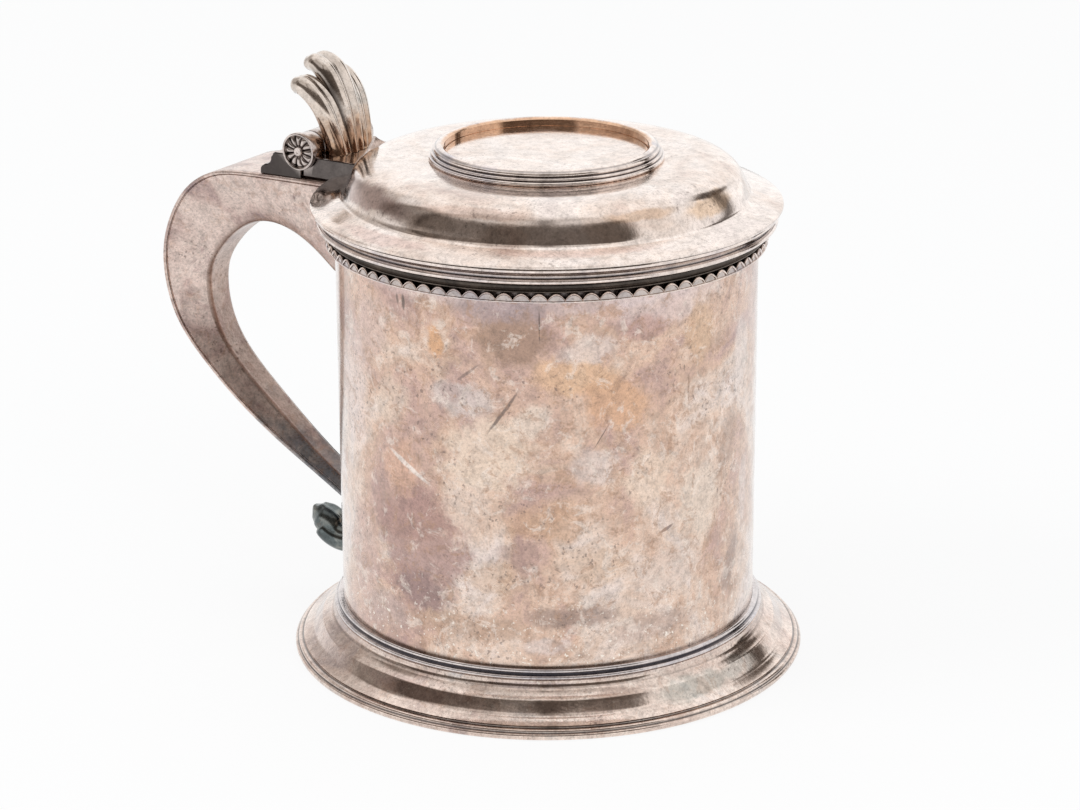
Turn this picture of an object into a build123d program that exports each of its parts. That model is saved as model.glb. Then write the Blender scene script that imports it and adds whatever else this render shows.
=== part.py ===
from build123d import *
import math
import os

# A lidded silver tankard of about a litre. Sizes are in millimetres.
# The origin is on the drum's axis, in the plane that the foot stands on. +Z is up.
# The handle and the hinge lie towards -X, and the hinge pin runs along Y.

# Clearances
solder_gap = 0.05
lid_gap = 0.3
running_gap = 0.05
knuckle_gap = 0.3

# Drum and floor
drum_r = 57.3
drum_wall = 1.2
drum_height = 110.45
drum_sink = 1.35
floor_thick = 1.6
floor_lift = 2.2

# Foot: a rim wire to stand on, a flared hollow skirt and a reeded collar
rim_wire_r = 71.0
rim_wire_high = 3.0
rim_wire_wide = 4.5
foot_height = 12.65
foot_wall = 1.2
foot_neck = 3.0
crest_out = 1.9
crest_drop = 3.0
collar_high = 3.2

# Mouth: a hollowed lip band over a scalloped wire
lip_high = 2.75
lip_out = 2.6
wire_high = 2.6
wire_out = 2.2
wire_plain = 0.95
scallop_count = 84
scallop_fill = 0.42

# Lid
lid_over = 6.5
lid_wall = 1.1
lid_top_rise = 17.4
flange_low = 4.6
flange_rise = 3.0
flange_wide = 10.1
dome_shoulder = 4.2
dome_drop = 8.6
edge_seat = 0.2
bezel_clear = 1.1
bezel_thick = 1.1
bezel_reach = 4.0

# Ring and plate let into the lid
ring_r = 31.5
ring_bore_r = 27.5
ring_high = 3.9
plate_thick = 1.5
plate_seat = 0.1

# Hinge
hinge_back = 8.2
hinge_lift = 12.25
pin_r = 1.6
barrel_r = 4.6
knuckle_count = 5
barrel_length = 26.6
leaf_drop = 1.5
leaf_seam = 0.5
fixed_leaf_width = 26.6
fixed_leaf_reach = 14.1
lid_leaf_width = 25.4
lid_leaf_lift = 0.5
rosette_r = 5.3
rosette_plate = 0.9
rosette_boss_r = 1.35
rosette_boss_high = 0.9
petal_count = 12
petal_r = 0.42
card_thick = 1.0
card_half = 14.6
card_high = 7.4

# Handle
handle_rise = 4.35
handle_low = 11.95
handle_reach = 65.9
handle_width = 28.0
strap_thick = 1.4
handle_wall = 1.3
handle_lid_gap = 0.6
handle_stations = 30
terminal_width = 8.6
terminal_reach = 22.3

# Thumbpiece
lobe_spread = 9.4
lobe_root_spread = 5.6
thumb_high = 23.0

lid_r = drum_r + lid_over
dome_r = lid_r - flange_wide
drum_bottom_z = foot_height - drum_sink
rim_z = drum_bottom_z + drum_height
parting_z = rim_z + lid_gap
lid_top_z = rim_z + lid_top_rise
flange_z = rim_z + flange_low
hinge_x = -(lid_r + hinge_back)
hinge_z = rim_z + hinge_lift
leaf_top_z = hinge_z - leaf_drop
handle_top_z = rim_z + handle_rise
handle_low_z = foot_height + handle_low
bore_r = rim_wire_r - rim_wire_wide

# Shapes drawn by hand. Each is scaled to the sizes above.
# The handle's back and finger side, in mm out from the drum and up from the lower joint
handle_drawn = (65.9, 101.5)
handle_back = [
    (4.7, 101.5), (34.7, 100.7), (44.7, 99.4), (54.7, 94.0), (62.2, 83.9), (65.6, 73.9), (65.9, 64.9),
    (63.0, 52.4), (55.5, 41.2), (44.7, 30.3), (31.5, 20.1), (16.7, 10.6), (-3.0, -2.0),
]
handle_fingers = [
    (-3.0, 67.0), (8.2, 74.7), (14.1, 79.0), (21.2, 82.8), (29.4, 84.7), (37.2, 83.7), (44.8, 79.4),
    (50.7, 73.4), (54.1, 67.4), (54.9, 60.9), (54.0, 54.4), (49.7, 44.9), (43.3, 37.6), (35.2, 30.3),
    (25.1, 21.7), (14.2, 13.4), (-3.0, 2.5),
]
# Share of the handle's length from the lid down, and share of its full width there
back_widths = [(0.0, 1.0), (0.27, 1.0), (0.45, 0.893), (0.52, 0.814), (0.62, 0.686), (0.72, 0.6), (0.84, 0.5),
               (1.0, 0.393)]
finger_widths = [(0.0, 0.657), (0.22, 0.479), (0.33, 0.371), (0.47, 0.321), (0.65, 0.279), (0.85, 0.243),
                 (1.0, 0.207)]
# The terminal's under side and upper side, in shares of its reach out from the drum and up from the joint
terminal_under = [(-0.09, -0.332), (0.3, -0.43), (0.614, -0.359), (0.861, -0.17), (1.0, 0.036)]
terminal_over = [(1.0, 0.036), (0.839, 0.09), (0.65, 0.009), (0.457, -0.085), (0.211, -0.085), (-0.09, -0.072)]
# The thumbpiece's ribs, in shares of its height: back from the hinge, up, half depth, half width
middle_rib = [(-0.391, -0.087, 0.109, 0.157), (-0.374, 0.13, 0.122, 0.17), (-0.322, 0.374, 0.135, 0.196),
              (-0.217, 0.626, 0.139, 0.23), (-0.052, 0.861, 0.152, 0.261), (0.148, 1.0, 0.143, 0.252),
              (0.304, 0.996, 0.07, 0.148)]
side_rib = [(-0.391, -0.087, 0.1, 0.126), (-0.37, 0.113, 0.109, 0.135), (-0.309, 0.322, 0.113, 0.143),
            (-0.209, 0.53, 0.117, 0.152), (-0.061, 0.726, 0.122, 0.157), (0.113, 0.843, 0.117, 0.148),
            (0.243, 0.852, 0.061, 0.087)]

os.makedirs("parts", exist_ok=True)


def at(radius, z, y=0.0):
    """A point beside the axis, on the +X side."""
    return Vector(radius, y, z)


def outline(start, *steps):
    """A closed wire in the XZ plane: a step is an end point, or an arc's mid point and end point."""
    edges = []
    here = start
    for step in steps + (start,):
        if isinstance(step[0], tuple):
            edges.append(ThreePointArc(at(*here), at(*step[0]), at(*step[1])))
            here = step[1]
        else:
            edges.append(Line(at(*here), at(*step)))
            here = step
    return Face(Wire(edges))


def turned(start, *steps):
    """The outline turned round the drum's axis."""
    return revolve(outline(start, *steps), axis=Axis.Z)


def plate_from(face, width):
    """The outline made as thick as width, equally to both sides of the XZ plane."""
    return extrude(face, amount=width / 2, dir=(0, 1, 0), both=True)


def across(x, z, radius, y_low, y_high):
    """A round bar along Y from y_low to y_high."""
    bar = Cylinder(radius, y_high - y_low, rotation=(90, 0, 0))
    return Pos(x, (y_low + y_high) / 2, z) * bar


def make_drum():
    inner = drum_r - drum_wall
    return turned((inner, drum_bottom_z), (drum_r, drum_bottom_z), (drum_r, rim_z), (inner, rim_z))


def make_floor():
    low = drum_bottom_z + floor_lift
    edge = drum_r - drum_wall - solder_gap
    return turned((0, low), (edge, low), (edge, low + floor_thick), (0, low + floor_thick))


def make_rim_wire():
    face_r = rim_wire_r - 1.2
    top_r = rim_wire_r - 2.0
    bead = ((rim_wire_r, rim_wire_high * 0.45), (top_r, rim_wire_high))
    return turned((bore_r, 0), (face_r, 0), bead, (bore_r, rim_wire_high))


def make_skirt():
    top = foot_height
    low = rim_wire_high + solder_gap
    neck = drum_r + foot_neck
    inside = drum_r + solder_gap
    crest = (neck + crest_out, top - crest_drop)
    toe = (rim_wire_r - 2.5, low)
    middle = ((crest[0] + toe[0]) / 2, (crest[1] + toe[1]) / 2)
    under = [(p[0] - foot_wall, p[1] - foot_wall) for p in (middle, crest)]
    hollow = ((neck - 0.1, (top + crest[1]) / 2 - 0.3), crest)
    ovolo = ((middle[0] + 0.45, middle[1] + 0.5), toe)
    neck_under = (inside, drum_bottom_z)
    return turned(
        (inside, top), (neck, top), hollow, (crest[0] + 0.2, crest[1] - 0.5), ovolo,
        (toe[0] - foot_wall, low), under[0], under[1], (neck - foot_wall, drum_bottom_z), neck_under,
    )


def make_collar():
    low = foot_height + solder_gap
    inside = drum_r + solder_gap
    mid = low + collar_high * 0.52
    top = low + collar_high
    big = drum_r + foot_neck
    small = drum_r + 1.7
    return turned(
        (inside, low), (big - 0.5, low), ((big + 0.05, (low + mid) / 2), (big - 0.7, mid)),
        (small - 0.4, mid + 0.1), ((small + 0.05, (mid + top) / 2), (small - 0.5, top)), (inside, top),
    )


def make_lip_band():
    inside = drum_r + solder_gap
    low = rim_z - lip_high
    foot = drum_r + lip_out - 0.6
    cove = ((foot - 0.55, rim_z - lip_high * 0.5), (drum_r + lip_out, rim_z - 0.5))
    return turned((inside, low), (foot, low), (foot, low + 0.3), cove, (drum_r + lip_out, rim_z), (inside, rim_z))


def make_scalloped_wire():
    inside = drum_r + solder_gap
    outside = drum_r + wire_out
    top = rim_z - lip_high - solder_gap
    low = top - wire_high
    ledge = low + wire_plain
    ring = turned((inside, low), (outside, low), ((outside + 0.3, (low + ledge) / 2), (outside, ledge)),
                  (inside, ledge))
    pitch = 2 * math.pi * drum_r / scallop_count
    hump_r = min(scallop_fill * pitch, top - ledge)
    length = wire_out - 8 * solder_gap
    middle = inside + 6 * solder_gap + length / 2
    hump = Pos(middle, 0, ledge) * Cylinder(hump_r, length, rotation=(0, 90, 0))
    hump = hump - Pos(middle, 0, low + 0.3 - hump_r) * Box(2 * length, 3 * hump_r, 2 * hump_r)
    humps = [Rot(0, 0, i * 360 / scallop_count) * hump for i in range(scallop_count)]
    return ring + humps


def lid_surface(gap):
    """The lid's outer outline from the edge to the axis, moved outwards by gap, as outline steps."""
    edge_z = flange_z + 1.2
    brow = (dome_r + 2.1 + gap, flange_z + flange_rise + gap)
    foot = (dome_r + 0.3 + gap, flange_z + flange_rise + 1.2 + gap)
    side = (dome_r + gap, flange_z + flange_rise + 3.0)
    crown = (dome_r - dome_drop + gap, lid_top_z - 0.35 + gap)
    shoulder = (dome_r - 1.5 + gap * 0.8, lid_top_z - dome_shoulder + 0.9 + gap * 0.8)
    turn = (dome_r - 0.28 * dome_drop + gap * 0.7, lid_top_z - 0.4 * dome_shoulder + gap * 0.7)
    return [
        (lid_r - 0.6 + gap, flange_z + 0.1 - gap),
        ((lid_r + gap, flange_z + 0.6), (lid_r - 0.7 + gap, edge_z + gap)),
        brow, ((brow[0] - 1.2, brow[1] + 0.3), foot), side, shoulder, (turn, crown), (0, lid_top_z + gap),
    ]


def make_lid_cover():
    top = lid_surface(0.0)
    dome_in = dome_r - lid_wall
    brow_z = flange_z + flange_rise - lid_wall
    crown = (dome_r - dome_drop - 0.6, lid_top_z - 0.35 - lid_wall)
    bend = (dome_in - 0.28 * dome_drop, lid_top_z - 0.4 * dome_shoulder - lid_wall)
    shoulder = (bend, (dome_in - 0.6, brow_z + 4.2))
    under = [(0, lid_top_z - lid_wall), crown, shoulder, (dome_in, brow_z + 1.0), (dome_in, brow_z),
             (dome_r + 1.4, brow_z)]
    return turned(*top, *under)


def under_flange(radius):
    """Height of the flange's underside at a radius."""
    inner = dome_r + 1.4
    outer = lid_r - 0.6
    high = flange_z + flange_rise - lid_wall
    low = flange_z + 0.1
    return high + (low - high) * (radius - inner) / (outer - inner)


def make_edge_moulding():
    inner = drum_r + edge_seat
    low = parting_z
    top = flange_z + 0.1 - solder_gap
    bead = ((lid_r - 1.4, low + 0.65), (lid_r - 2.3, low + 1.3))
    fillet = ((lid_r - 2.3, (low + top) / 2), (lid_r - 1.5, top - 1.2))
    upper = ((lid_r - 0.65, top - 0.65), (lid_r - 1.5, top - 0.1))
    return turned((inner, low), (lid_r - 2.2, low), bead, (lid_r - 2.7, low + 1.5), fillet, upper,
                  (lid_r - 1.5, top), (inner, under_flange(inner) - solder_gap))


def make_bezel():
    outside = drum_r - drum_wall - bezel_clear
    inside = outside - bezel_thick
    top = flange_z + flange_rise - lid_wall - solder_gap
    low = rim_z - bezel_reach
    return turned((inside, low), (outside, low), (outside, top), (inside, top))


def make_ring():
    low = lid_top_z + solder_gap
    top = low + ring_high
    step = (ring_r - ring_bore_r) * 0.2
    return turned(
        (ring_bore_r, low), (ring_r, low), ((ring_r + 0.15, low + 0.7), (ring_r - 0.3, low + 1.4)),
        (ring_r - step, low + 1.5), ((ring_r - step + 0.3, low + 2.1), (ring_r - step - 0.2, low + 2.7)),
        (ring_r - 2 * step, low + 2.8), ((ring_r - 2 * step - 0.4, top - 0.1), (ring_r - 3 * step, top)),
        (ring_bore_r, top),
    )


def make_plate():
    low = lid_top_z + plate_seat
    edge = ring_bore_r - solder_gap
    return turned((0, low), (edge, low), (edge, low + plate_thick), (0, low + plate_thick))


def knuckle_spans():
    """Where each knuckle of the barrel starts and ends along Y."""
    pitch = barrel_length / knuckle_count
    spans = []
    for i in range(knuckle_count):
        low = -barrel_length / 2 + i * pitch
        spans.append((low + knuckle_gap / 2, low + pitch - knuckle_gap / 2))
    return spans


def with_knuckles(leaf, own, others, bore):
    """Give a leaf its own knuckles, clear it round the other leaf's, and bore it for the pin."""
    for low, high in others:
        leaf = leaf - across(hinge_x, hinge_z, barrel_r + lid_gap, low - knuckle_gap, high + knuckle_gap)
    for low, high in own:
        leaf = leaf + across(hinge_x, hinge_z, barrel_r, low, high)
    return leaf - across(hinge_x, hinge_z, bore, -barrel_length, barrel_length)


def make_fixed_leaf(handle):
    face_x = hinge_x - leaf_seam / 2
    end_x = hinge_x - fixed_leaf_reach
    low = handle_top_z - 0.9
    top = leaf_top_z
    step_z = handle_top_z + (top - handle_top_z) * 0.5
    shoulder = ((end_x + 4.2, top - 0.7), (end_x + 3.7, step_z + 0.4))
    toe = ((end_x + 0.5, step_z - 1.2), (end_x, low + 1.4))
    block = outline((face_x, low), (face_x, top), (end_x + 5.6, top), shoulder, (end_x + 2.0, step_z), toe,
                    (end_x, low))
    leaf = plate_from(block, fixed_leaf_width) - handle
    spans = knuckle_spans()
    return with_knuckles(leaf, spans[0::2], spans[1::2], pin_r)


def make_lid_leaf():
    low = handle_top_z + lid_leaf_lift
    face_x = hinge_x + leaf_seam / 2
    front = -(dome_r - 6.0)
    block = outline((face_x, low), (front, low), (front, leaf_top_z), (face_x, leaf_top_z))
    leaf = plate_from(block, lid_leaf_width)
    lid = turned((0, parting_z - 1.0), (lid_r, parting_z - 1.0), *lid_surface(solder_gap))
    behind = card_inner_r() + card_thick + solder_gap
    low = card_low_z() - solder_gap
    card_room = turned((0, low), (behind, low), (behind, leaf_top_z + 1.0), (0, leaf_top_z + 1.0))
    spans = knuckle_spans()
    return with_knuckles(leaf - lid - card_room, spans[1::2], spans[0::2], pin_r + running_gap)


def make_pin():
    half = barrel_length / 2
    return across(hinge_x, hinge_z, pin_r, -half, half)


def make_rosette(side):
    """A petalled cap: a plate with a rim, a domed boss and petals between them."""
    plate = Cylinder(rosette_r, rosette_plate, align=(Align.CENTER, Align.CENTER, Align.MIN))
    rim = Pos(0, 0, rosette_plate) * Torus(rosette_r - 0.45, 0.45)
    boss = Pos(0, 0, rosette_plate) * Cylinder(rosette_boss_r, rosette_boss_high)
    start = rosette_boss_r * 0.5
    length = rosette_r - 0.7 - start
    petal = Pos(start + length / 2, 0, rosette_plate) * Cylinder(petal_r, length, rotation=(0, 90, 0))
    petals = [Rot(0, 0, i * 360 / petal_count) * petal for i in range(petal_count)]
    cap = plate + rim + boss + petals
    out = side * (barrel_length / 2 + solder_gap)
    return Pos(hinge_x, out, hinge_z) * Rot(-90 * side, 0, 0) * cap


def card_inner_r():
    return dome_r + 0.35 + solder_gap


def card_low_z():
    return flange_z + flange_rise + 0.7


def make_card():
    """A thin gabled plate that stands against the dome, before the thumbpiece."""
    inner = card_inner_r()
    low = card_low_z()
    shell = turned((inner, low), (inner + card_thick, low), (inner + card_thick, low + card_high),
                   (inner, low + card_high))
    eaves = low + card_high * 0.38
    half = card_half
    gable = Polyline((-half, low), (-half * 0.86, eaves), (-half * 0.3, low + card_high * 0.64),
                     (0, low + card_high), (half * 0.3, low + card_high * 0.64), (half * 0.86, eaves),
                     (half, low), close=True)
    gable = extrude(make_face(Plane.YZ * gable), amount=2 * dome_r, dir=(-1, 0, 0))
    lid = turned((0, parting_z), (lid_r, parting_z), *lid_surface(solder_gap))
    return (shell & gable) - lid


def stretched(out, up):
    """A handle point, drawn as mm out from the drum and up from the lower joint, set to the real ends."""
    drawn_reach, drawn_height = handle_drawn
    z = handle_low_z + up * (handle_top_z - handle_low_z) / drawn_height
    return Vector(-(drum_r + out * handle_reach / drawn_reach), 0, z)


def shared(table, share):
    """A width read off a table of (share of the handle's length, width), in straight steps."""
    for (s0, w0), (s1, w1) in zip(table, table[1:]):
        if share <= s1:
            return w0 + (w1 - w0) * (share - s0) / (s1 - s0)
    return table[-1][1]


def handle_frames():
    """Stations from the lid down to the drum: outer point, direction to the finger side, depth, half widths."""
    back_line = Spline(*[stretched(*p) for p in handle_back])
    finger_line = Spline(*[stretched(*p) for p in handle_fingers])
    half = handle_width / 2
    frames = []
    for i in range(handle_stations):
        share = i / (handle_stations - 1)
        outer = back_line @ share
        inner = finger_line @ share
        depth = (inner - outer).length
        widths = (half * shared(back_widths, share), half * shared(finger_widths, share))
        frames.append((outer, (inner - outer).normalized(), depth, *widths))
    return frames


def section(frame, corners):
    """A flat section from corners of (depth from the back, half width side as -1 or 1, wall set in)."""
    outer, inward, depth, back, fingers = frame
    points = []
    for deep, side, inset in corners:
        half = back + (fingers - back) * deep / depth - inset
        points.append(outer + inward * deep + Vector(0, side * half, 0))
    return make_face(Polyline(*points, close=True))


def handle_mass():
    """The handle as one solid bar, for cutting what sits on it."""
    return loft([section(f, [(0, -1, 0), (0, 1, 0), (f[2], 1, 0), (f[2], -1, 0)]) for f in handle_frames()],
                ruled=True)


def handle_room():
    """The space that the drum, the mouth's mouldings and the lid's edge take from the handle's ends."""
    wall = drum_r + solder_gap
    wire_low = rim_z - lip_high - wire_high - 2 * solder_gap
    mouth = drum_r + lip_out + solder_gap
    edge = lid_r + handle_lid_gap
    high = handle_top_z + 5.0
    return turned((0, 0), (wall, 0), (wall, wire_low), (mouth, wire_low), (mouth, rim_z), (edge, rim_z),
                  (edge, high), (0, high))


def make_strap():
    t = strap_thick
    sections = [section(f, [(0, -1, 0), (0, 1, 0), (t, 1, 0), (t, -1, 0)]) for f in handle_frames()]
    return loft(sections, ruled=True) - handle_room()


def make_grip():
    """The hollow U of the handle: two sides and the finger side, open under the strap."""
    a = strap_thick + solder_gap
    w = handle_wall
    sections = []
    for f in handle_frames():
        full = f[2]
        corners = [(a, -1, 0), (full, -1, 0), (full, 1, 0), (a, 1, 0), (a, 1, w), (full - w, 1, w),
                   (full - w, -1, w), (a, -1, w)]
        sections.append(section(f, corners))
    return loft(sections, ruled=True) - handle_room()


def make_terminal():
    """The leaf that curls out from the drum under the handle's lower end."""
    def near(out, up):
        return Vector(-(drum_r + terminal_reach * out), 0, handle_low_z + terminal_reach * up)
    under = Spline(*[near(*p) for p in terminal_under])
    over = Spline(*[near(*p) for p in terminal_over])
    leaf = plate_from(Face(Wire([under, over, Line(over @ 1, under @ 0)])), terminal_width)
    reeds = drum_r + foot_neck + lid_gap
    reeds_top = foot_height + collar_high + 2 * solder_gap
    return leaf - handle_room() - turned((0, 0), (reeds, 0), (reeds, reeds_top), (0, reeds_top))


def lobe(spread, root_spread, stations):
    """One rib of the thumbpiece: ovals along a curl that fans out sideways."""
    count = len(stations)
    scale = thumb_high
    points = []
    for i, (back, up, _, _) in enumerate(stations):
        y = root_spread + (spread - root_spread) * (i / (count - 1)) ** 0.8
        points.append(Vector(hinge_x - scale * back, y, leaf_top_z + scale * up))
    faces = []
    for i, point in enumerate(points):
        after = points[min(i + 1, count - 1)]
        before = points[max(i - 1, 0)]
        heading = after - before
        heading = Vector(heading.X, 0, heading.Z)
        deep, wide = stations[i][2:]
        oval = Ellipse(scale * wide, scale * deep)
        faces.append(Plane(point, x_dir=(0, 1, 0), z_dir=heading) * oval)
    return loft(faces)


def make_thumbpiece():
    """Three ribs that fan out and curl back over the hinge."""
    piece = lobe(0.0, 0.0, middle_rib)
    for way in (-1, 1):
        piece = piece + lobe(way * lobe_spread, way * lobe_root_spread, side_rib)
    size = 3 * thumb_high
    seat = Pos(hinge_x, 0, leaf_top_z + solder_gap - size / 2) * Box(size, size, size)
    return piece - seat


def main():
    pieces = {
        "body_drum": make_drum(),
        "body_floor": make_floor(),
        "foot_rim_wire": make_rim_wire(),
        "foot_skirt": make_skirt(),
        "foot_collar": make_collar(),
        "lip_band": make_lip_band(),
        "scalloped_wire": make_scalloped_wire(),
        "handle_strap": make_strap(),
        "handle_grip": make_grip(),
        "handle_terminal": make_terminal(),
        "hinge_fixed_leaf": make_fixed_leaf(handle_mass()),
        "hinge_pin": make_pin(),
        "rosette_cap_left": make_rosette(-1),
        "rosette_cap_right": make_rosette(1),
        "lid_cover": make_lid_cover(),
        "lid_edge_moulding": make_edge_moulding(),
        "lid_bezel": make_bezel(),
        "medallion_ring": make_ring(),
        "medallion_plate": make_plate(),
        "lid_hinge_leaf": make_lid_leaf(),
        "lid_card": make_card(),
        "thumbpiece": make_thumbpiece(),
    }
    for name, piece in pieces.items():
        export_step(piece, f"parts/{name}.step")


main()
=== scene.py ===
import math

import bpy
import numpy as np
from mathutils import Matrix


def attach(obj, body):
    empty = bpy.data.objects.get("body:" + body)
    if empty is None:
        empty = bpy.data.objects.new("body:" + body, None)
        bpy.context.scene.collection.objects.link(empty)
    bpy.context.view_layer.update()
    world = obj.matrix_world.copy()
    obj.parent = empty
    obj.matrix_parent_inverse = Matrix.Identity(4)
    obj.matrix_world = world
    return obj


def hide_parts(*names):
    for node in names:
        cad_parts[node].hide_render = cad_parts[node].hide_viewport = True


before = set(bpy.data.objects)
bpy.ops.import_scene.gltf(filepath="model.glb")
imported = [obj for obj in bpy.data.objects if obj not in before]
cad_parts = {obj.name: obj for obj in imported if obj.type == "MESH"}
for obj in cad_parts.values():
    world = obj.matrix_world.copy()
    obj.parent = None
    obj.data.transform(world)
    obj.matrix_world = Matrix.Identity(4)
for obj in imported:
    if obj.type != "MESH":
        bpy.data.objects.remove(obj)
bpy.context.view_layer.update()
MM = 0.001

# Sizes in millimetres, in the frame of the model
DRUM_R = 57.3
# The bore of the rings that sit round the drum
SEAT_R = 57.35
RIM_Z = 121.75
SCALLOPS = 84
SCALLOP_BEND = 0.7
# The hinge pin's place in X and Z, the top of the leaves, the barrel and half the fixed leaf's width
HINGE = (-72.0, 134.0)
LEAF_TOP = 132.5
BARREL_R = 4.6
LEAF_HALF = 13.3
KNUCKLES = 5

# Points round each turned piece, and rows along the handle
ROUND = 288
HANDLE_ROWS = 150


# Curves
def spline(points, count):
    """count points on a smooth curve through the given ones: a natural cubic by chord length."""
    p = np.asarray(points, float)
    t = np.r_[0, np.cumsum(np.linalg.norm(np.diff(p, axis=0), axis=1))]
    n = len(p)
    h = np.diff(t)
    a = np.eye(n)
    b = np.zeros_like(p)
    for i in range(1, n - 1):
        a[i, i - 1:i + 2] = h[i - 1], 2 * (h[i - 1] + h[i]), h[i]
        b[i] = 6 * ((p[i + 1] - p[i]) / h[i] - (p[i] - p[i - 1]) / h[i - 1])
    m = np.linalg.solve(a, b)
    s = np.linspace(0, t[-1], count)
    k = np.clip(np.searchsorted(t, s, side="right") - 1, 0, n - 2)
    u = (s - t[k])[:, None]
    hk = h[k][:, None]
    v = hk - u
    bend = (m[k] * v ** 3 + m[k + 1] * u ** 3) / (6 * hk)
    return bend + (p[k] / hk - m[k] * hk / 6) * v + (p[k + 1] / hk - m[k + 1] * hk / 6) * u


def arc(start, mid, end, count=8):
    """Points on the circle through three points, without the first one."""
    (ax, ay), (bx, by), (cx, cy) = start, mid, end
    d = 2 * (ax * (by - cy) + bx * (cy - ay) + cx * (ay - by))
    a2, b2, c2 = ax * ax + ay * ay, bx * bx + by * by, cx * cx + cy * cy
    ux = (a2 * (by - cy) + b2 * (cy - ay) + c2 * (ay - by)) / d
    uy = (a2 * (cx - bx) + b2 * (ax - cx) + c2 * (bx - ax)) / d
    t0, t1, t2 = (math.atan2(y - uy, x - ux) for x, y in (start, mid, end))
    turn = (t2 - t0) % (2 * math.pi)
    if (t1 - t0) % (2 * math.pi) > turn:
        turn -= 2 * math.pi
    r = math.hypot(ax - ux, ay - uy)
    return [(ux + r * math.cos(t0 + turn * i / count), uy + r * math.sin(t0 + turn * i / count))
            for i in range(1, count + 1)]


def path(start, *steps):
    """A profile of straight steps (x, y) and arcs ((mid), (end))."""
    points = [start]
    for step in steps:
        points += arc(points[-1], *step) if isinstance(step[0], tuple) else [step]
    return points


# Meshes
def add(name, verts, faces, material, body, stands_for=(), slot="aged_silver", angle=32, tarnish_and_shade=None):
    """One mesh object from points in millimetres, turned outwards, riding on a body.
    tarnish_and_shade is how dark each point is, from tarnish and painted shade, from 0 to 1, kept as the
    attribute of that name."""
    mesh = bpy.data.meshes.new(name)
    mesh.from_pydata((np.asarray(verts, float) * MM).tolist(), [], faces)
    mesh.calc_loop_triangles()
    tri = np.empty(len(mesh.loop_triangles) * 3, int)
    mesh.loop_triangles.foreach_get("vertices", tri)
    co = np.asarray(verts, float)[tri].reshape(-1, 3, 3)
    if np.einsum("ij,ij->i", co[:, 0], np.cross(co[:, 1], co[:, 2])).sum() < 0:
        mesh.flip_normals()
    mesh.polygons.foreach_set("use_smooth", [True] * len(mesh.polygons))
    mesh.set_sharp_from_angle(angle=math.radians(angle))
    mesh.materials.append(material)
    if tarnish_and_shade is not None:
        layer = mesh.attributes.new("tarnish_and_shade", "FLOAT", "POINT")
        layer.data.foreach_set("value", np.clip(np.asarray(tarnish_and_shade, np.float32), 0, 1).ravel())
    obj = bpy.data.objects.new(name, mesh)
    bpy.context.scene.collection.objects.link(obj)
    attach(obj, body)
    if stands_for:
        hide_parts(*stands_for)
    return obj


def ring_faces(rows, cols, first=0, close_rows=False):
    """Quads of a grid of rows x cols points whose columns close on themselves."""
    last = rows if close_rows else rows - 1
    return [(first + i * cols + j, first + (i + 1) % rows * cols + j,
             first + (i + 1) % rows * cols + (j + 1) % cols, first + i * cols + (j + 1) % cols)
            for i in range(last) for j in range(cols)]


def lathe(profile):
    """The surface (r cos t, r sin t, z) of a closed profile turned round the axis. Ends at r = 0 become
    poles."""
    solid = profile[0][0] < 1e-6
    body = profile[1:-1] if solid else profile
    t = np.arange(ROUND) * 2 * math.pi / ROUND
    verts = [(r * math.cos(a), r * math.sin(a), z) for r, z in body for a in t]
    faces = ring_faces(len(body), ROUND, close_rows=not solid)
    if solid:
        low, high = len(verts), len(verts) + 1
        verts += [(0, 0, profile[0][1]), (0, 0, profile[-1][1])]
        end = (len(body) - 1) * ROUND
        faces += [(low, (j + 1) % ROUND, j) for j in range(ROUND)]
        faces += [(high, end + j, end + (j + 1) % ROUND) for j in range(ROUND)]
    return verts, faces


def hollows(profile):
    """Painted shade for a lathe: each inner corner of the profile darkens what lies within reach of it. A
    turn of full radians or more counts in full."""
    reach, full = 0.5, 0.7
    p = np.asarray(profile, float)
    a, b = p - np.roll(p, 1, 0), np.roll(p, -1, 0) - p
    turn = np.arctan2(a[:, 0] * b[:, 1] - a[:, 1] * b[:, 0], np.sum(a * b, 1))
    area = np.sum(p[:, 0] * np.roll(p[:, 1], -1) - np.roll(p[:, 0], -1) * p[:, 1])
    inner = np.clip(-turn * np.sign(area) / full, 0, 1)
    gap = np.linalg.norm(p[:, None] - p[None], axis=2)
    return np.repeat((inner[None] * np.clip(1 - gap / reach, 0, 1)).max(1), ROUND)


def tube(sections):
    """A closed skin over a row of closed loops, with a flat face at each end."""
    s = np.asarray(sections, float)
    rows, cols = s.shape[:2]
    faces = ring_faces(rows, cols)
    faces += [tuple(range(cols))[::-1], tuple(range((rows - 1) * cols, rows * cols))]
    return s.reshape(-1, 3).tolist(), faces


def joined(*shells):
    """Several shells as one mesh."""
    verts, faces = [], []
    for v, f in shells:
        n = len(verts)
        verts += list(v)
        faces += [tuple(i + n for i in face) for face in f]
    return verts, faces


def inset(loop, amount):
    """A closed 2-D loop moved inwards by amount."""
    p = np.asarray(loop, float)
    before, after = np.roll(p, 1, 0), np.roll(p, -1, 0)
    a, b = p - before, after - p
    a /= np.linalg.norm(a, axis=1)[:, None]
    b /= np.linalg.norm(b, axis=1)[:, None]
    area = np.sum(p[:, 0] * after[:, 1] - after[:, 0] * p[:, 1])
    n = np.stack([-(a + b)[:, 1], (a + b)[:, 0]], 1) * np.sign(area)
    n /= np.maximum(np.linalg.norm(n, axis=1)[:, None], 1e-6)
    return p + n * amount


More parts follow.
